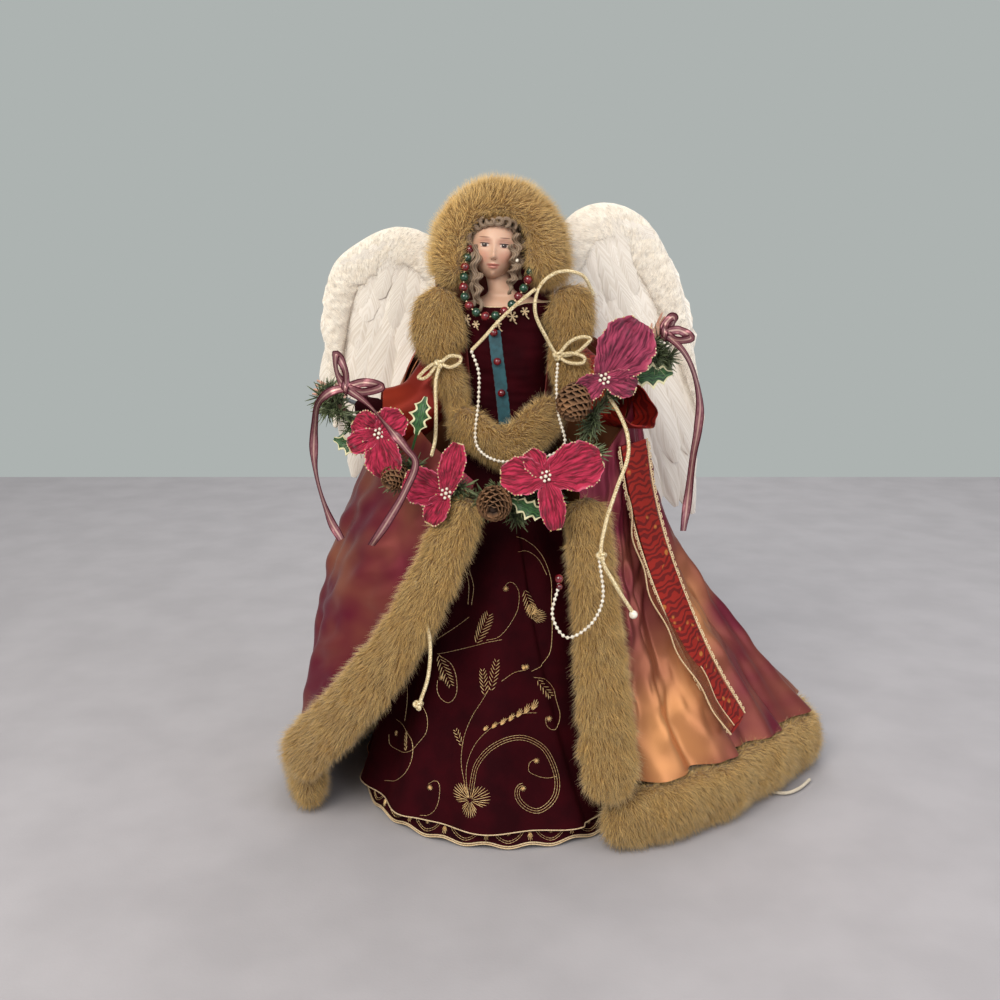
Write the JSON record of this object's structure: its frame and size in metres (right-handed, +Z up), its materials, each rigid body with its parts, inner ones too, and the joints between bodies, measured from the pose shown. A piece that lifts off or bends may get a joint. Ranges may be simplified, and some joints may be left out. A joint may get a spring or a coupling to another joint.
{
  "type": "angel tree topper",
  "caption": "Angel tree topper on an open card cone, with feather wings on bendable wire roots, a fur-trimmed hooded coat over a velvet dress, and a garland between the hands.",
  "frame": {"origin": "middle of the card cone's open mouth, on the plane of its foot rim, where the tree's tip enters", "axes": "+Z up along the cone, -Y to the front where the doll looks, +X to the viewer's right"},
  "size_m": [0.3719, 0.235, 0.4005],
  "materials": {
    "card": "plain tan card, matte",
    "foam": "matte foam",
    "resin": "painted resin, satin skin tones with brown hair",
    "wire": "drawn soft steel wire",
    "velvet": "dark burgundy velvet with gold thread embroidery",
    "satin": "shaded burgundy and copper satin",
    "brocade": "red-orange brocade",
    "gold_thread": "twisted metallic gold thread",
    "teal_ribbon": "woven teal ribbon",
    "bead": "glossy dark red and green beads",
    "fur": "long-pile golden olive fur",
    "feather": "cream goose feather",
    "crimson_cloth": "crinkled crimson cloth with gold glitter edges",
    "pine": "cut green film needles",
    "pinecone": "natural brown scales",
    "holly": "printed green and cream cloth",
    "ribbon": "sheer dusty pink ribbon with dark edges",
    "pearl": "pearlescent beads on thread",
    "cotton": "cream cotton cord"
  },
  "bodies": {
    "figure": {"base_cone": "card", "arm_wire": "wire", "torso_form": "foam", "bust_head": "resin", "hand_left": "resin", "hand_right": "resin", "wing_block": "card", "pinecone_left": "pinecone", "pinecone_middle": "pinecone", "pinecone_right": "pinecone", "poinsettia_1": "crimson_cloth", "poinsettia_2": "crimson_cloth", "poinsettia_3": "crimson_cloth", "poinsettia_4": "crimson_cloth", "holly_leaf_1": "holly", "holly_leaf_2": "holly", "holly_leaf_3": "holly", "holly_leaf_4": "holly", "bead_necklace": "bead", "velvet_bodice": "velvet", "placket_ribbon": "teal_ribbon", "gold_cord_chest": "gold_thread", "gold_cord_left": "gold_thread", "gold_cord_right": "gold_thread", "gold_cord_tail_right": "gold_thread", "gold_cord_tail_left": "gold_thread", "pearl_strand": "pearl", "pearl_loop": "pearl", "floor_cord": "cotton", "ribbon_bow_left": "ribbon", "ribbon_bow_right": "ribbon", "garland_stem": "pine", "velvet_skirt": "velvet", "underskirt_hem": "velvet", "undersleeve_left": "velvet", "undersleeve_right": "velvet", "sleeve_drape_right": "brocade", "lace_braid_outer": "gold_thread", "lace_braid_inner": "gold_thread", "coat_yoke": "satin", "bell_sleeve_left": "satin", "bell_sleeve_right": "satin", "coat_panel_right": "satin", "coat_panel_back": "satin", "coat_panel_left": "satin", "hood_cloth": "satin", "front_fur_left": "fur", "front_fur_right": "fur", "hem_fur_right": "fur", "hem_fur_left": "fur", "peplum_fur": "fur", "hood_fur": "fur", "lapel_fur_left": "fur", "lapel_fur_right": "fur"},
    "wing_left": {"wing_frame_left": "card", "wing_feathers_left": "feather", "wing_coverts_left": "feather"},
    "wing_right": {"wing_frame_right": "card", "wing_feathers_right": "feather", "wing_coverts_right": "feather"}
  },
  "joints": [
    {"name": "wing_left_bend", "type": "hinge", "parent": "figure", "child": "wing_left", "pos_m": [-0.014, 0.049, 0.2881], "axis": [0, 0, -1], "range_deg": [0, 25]},
    {"name": "wing_right_bend", "type": "hinge", "parent": "figure", "child": "wing_right", "pos_m": [0.014, 0.049, 0.2881], "axis": [0, 0, 1], "range_deg": [0, 25]}
  ]
}
